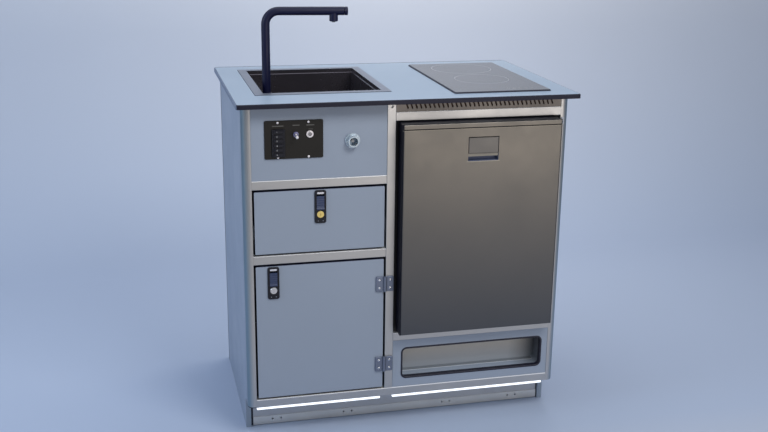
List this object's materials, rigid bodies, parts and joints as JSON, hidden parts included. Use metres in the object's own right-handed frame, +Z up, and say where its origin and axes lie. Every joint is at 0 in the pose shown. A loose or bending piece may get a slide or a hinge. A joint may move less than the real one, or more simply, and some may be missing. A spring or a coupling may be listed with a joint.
{
  "type": "campervan kitchen pod",
  "caption": "Free-standing kitchen cabinet with sink, swivel tap, hob, control panel, drawer, cupboard, fridge and open niche in a profile frame.",
  "frame": {"origin": "on the floor, in the middle of the worktop's outline seen from above", "axes": "+Z up, -Y out of the front with the doors and the drawer, +X to the right seen from the front"},
  "size_m": [0.9826, 0.66, 1.2303],
  "materials": {
    "frame_profile": "satin anodised",
    "front_panel": "satin blue-grey laminate",
    "carcass_board": "matte board",
    "worktop_laminate": "smooth satin laminate, dark edge",
    "sink_steel": "dark satin",
    "chrome_parts": "polished",
    "black_tap": "matte black",
    "hob_glass_black": "polished black ceramic glass",
    "zinc_parts": "satin zinc",
    "black_plastic": "fine matte",
    "nickel_fitting": "satin nickel",
    "brass_lock": "polished",
    "fridge_front": "satin dark metallic",
    "fridge_liner": "smooth",
    "door_seal": "matte",
    "light_lens": "opal, lit"
  },
  "bodies": {
    "carcass": {"bottom_rail_front": "frame_profile", "button_body": "chrome_parts", "control_plate": "black_plastic", "divider_panel": "carcass_board", "drawer_runner_left": "zinc_parts", "drawer_runner_right": "zinc_parts", "fascia_panel": "front_panel", "floor_panel": "carcass_board", "fridge_cabinet": "black_plastic", "fridge_deck": "carcass_board", "fridge_rail": "frame_profile", "front_post_left": "frame_profile", "front_post_middle": "frame_profile", "front_post_right": "frame_profile", "fuse_block": "black_plastic", "hob_case": "zinc_parts", "hob_glass": "hob_glass_black", "hose_outlet": "nickel_fitting", "light_strip_left": "light_lens", "light_strip_right": "light_lens", "lower_hinge_post_leaf": "zinc_parts", "middle_rail_left": "frame_profile", "niche_box": "carcass_board", "niche_panel": "front_panel", "plinth_board": "frame_profile", "rear_panel": "carcass_board", "rear_post_left": "frame_profile", "rear_post_right": "frame_profile", "rear_rail_bottom": "frame_profile", "rear_rail_top": "frame_profile", "side_panel_left": "front_panel", "side_panel_right": "front_panel", "sink": "sink_steel", "sink_waste": "chrome_parts", "tap_base": "black_tap", "toggle_bushing": "chrome_parts", "top_rail_right": "frame_profile", "upper_hinge_post_leaf": "zinc_parts", "upper_rail_left": "frame_profile", "vent_strip": "frame_profile", "worktop": "worktop_laminate"},
    "tap_spout": {"tap_spout": "black_tap"},
    "tap_knob": {"tap_knob": "black_tap"},
    "toggle_lever": {"toggle_lever": "chrome_parts"},
    "button_cap": {"button_cap": "black_plastic"},
    "drawer": {"drawer_front": "front_panel", "drawer_box": "carcass_board", "drawer_latch_body": "black_plastic"},
    "drawer_paddle": {"drawer_latch_paddle": "black_plastic"},
    "drawer_lock": {"drawer_latch_lock": "brass_lock"},
    "cupboard_door": {"cupboard_door": "front_panel", "cupboard_latch_body": "black_plastic", "upper_hinge_door_leaf": "zinc_parts", "lower_hinge_door_leaf": "zinc_parts"},
    "cupboard_paddle": {"cupboard_latch_paddle": "black_plastic"},
    "cupboard_lock": {"cupboard_latch_lock": "chrome_parts"},
    "fridge_door": {"fridge_door": "fridge_front", "fridge_door_liner": "fridge_liner", "fridge_gasket": "door_seal"},
    "fridge_handle": {"fridge_handle": "fridge_front"}
  },
  "joints": [
    {"name": "spout_swivel", "type": "hinge", "parent": "carcass", "child": "tap_spout", "pos_m": [-0.3638, 0.013, 0.9751], "axis": [0, 0, 1], "range_deg": [-110, 110]},
    {"name": "tap_knob_turn", "type": "hinge", "parent": "tap_spout", "child": "tap_knob", "pos_m": [-0.13466, -0.01108, 1.2178], "axis": [0.9945, -0.1045, 0], "range_deg": [0, 90]},
    {"name": "toggle_tilt", "type": "hinge", "parent": "carcass", "child": "toggle_lever", "pos_m": [-0.3258, -0.2957, 0.9155], "axis": [-1, 0, 0], "range_deg": [0, 26]},
    {"name": "button_press", "type": "slide", "parent": "carcass", "child": "button_cap", "axis": [0, 1, 0], "range_m": [0, 0.0015], "stiffness_N_per_m": 300},
    {"name": "drawer_slide", "type": "slide", "parent": "carcass", "child": "drawer", "axis": [0, -1, 0], "range_m": [0, 0.32]},
    {"name": "drawer_paddle_lift", "type": "hinge", "parent": "drawer", "child": "drawer_paddle", "pos_m": [-0.2583, -0.2853, 0.7325], "axis": [-1, 0, 0], "range_deg": [0, 35], "stiffness_Nm_per_rad": 0.3},
    {"name": "drawer_lock_turn", "type": "hinge", "parent": "drawer", "child": "drawer_lock", "pos_m": [-0.2583, -0.2923, 0.6835], "axis": [0, -1, 0], "range_deg": [0, 90]},
    {"name": "cupboard_paddle_lift", "type": "hinge", "parent": "cupboard_door", "child": "cupboard_paddle", "pos_m": [-0.3943, -0.2853, 0.514], "axis": [-1, 0, 0], "range_deg": [0, 35], "stiffness_Nm_per_rad": 0.3},
    {"name": "cupboard_lock_turn", "type": "hinge", "parent": "cupboard_door", "child": "cupboard_lock", "pos_m": [-0.3943, -0.2923, 0.465], "axis": [0, -1, 0], "range_deg": [0, 90]},
    {"name": "cupboard_door_swing", "type": "hinge", "parent": "carcass", "child": "cupboard_door", "pos_m": [-0.0698, -0.2923, 0.3345], "axis": [0, 0, 1], "range_deg": [0, 115]},
    {"name": "fridge_door_swing", "type": "hinge", "parent": "carcass", "child": "fridge_door", "pos_m": [0.4303, -0.307, 0.6235], "axis": [0, 0, 1], "range_deg": [0, 110]},
    {"name": "fridge_handle_pull", "type": "hinge", "parent": "fridge_door", "child": "fridge_handle", "pos_m": [0.204, -0.325, 0.8923], "axis": [-1, 0, 0], "range_deg": [0, 20], "stiffness_Nm_per_rad": 0.3}
  ]
}
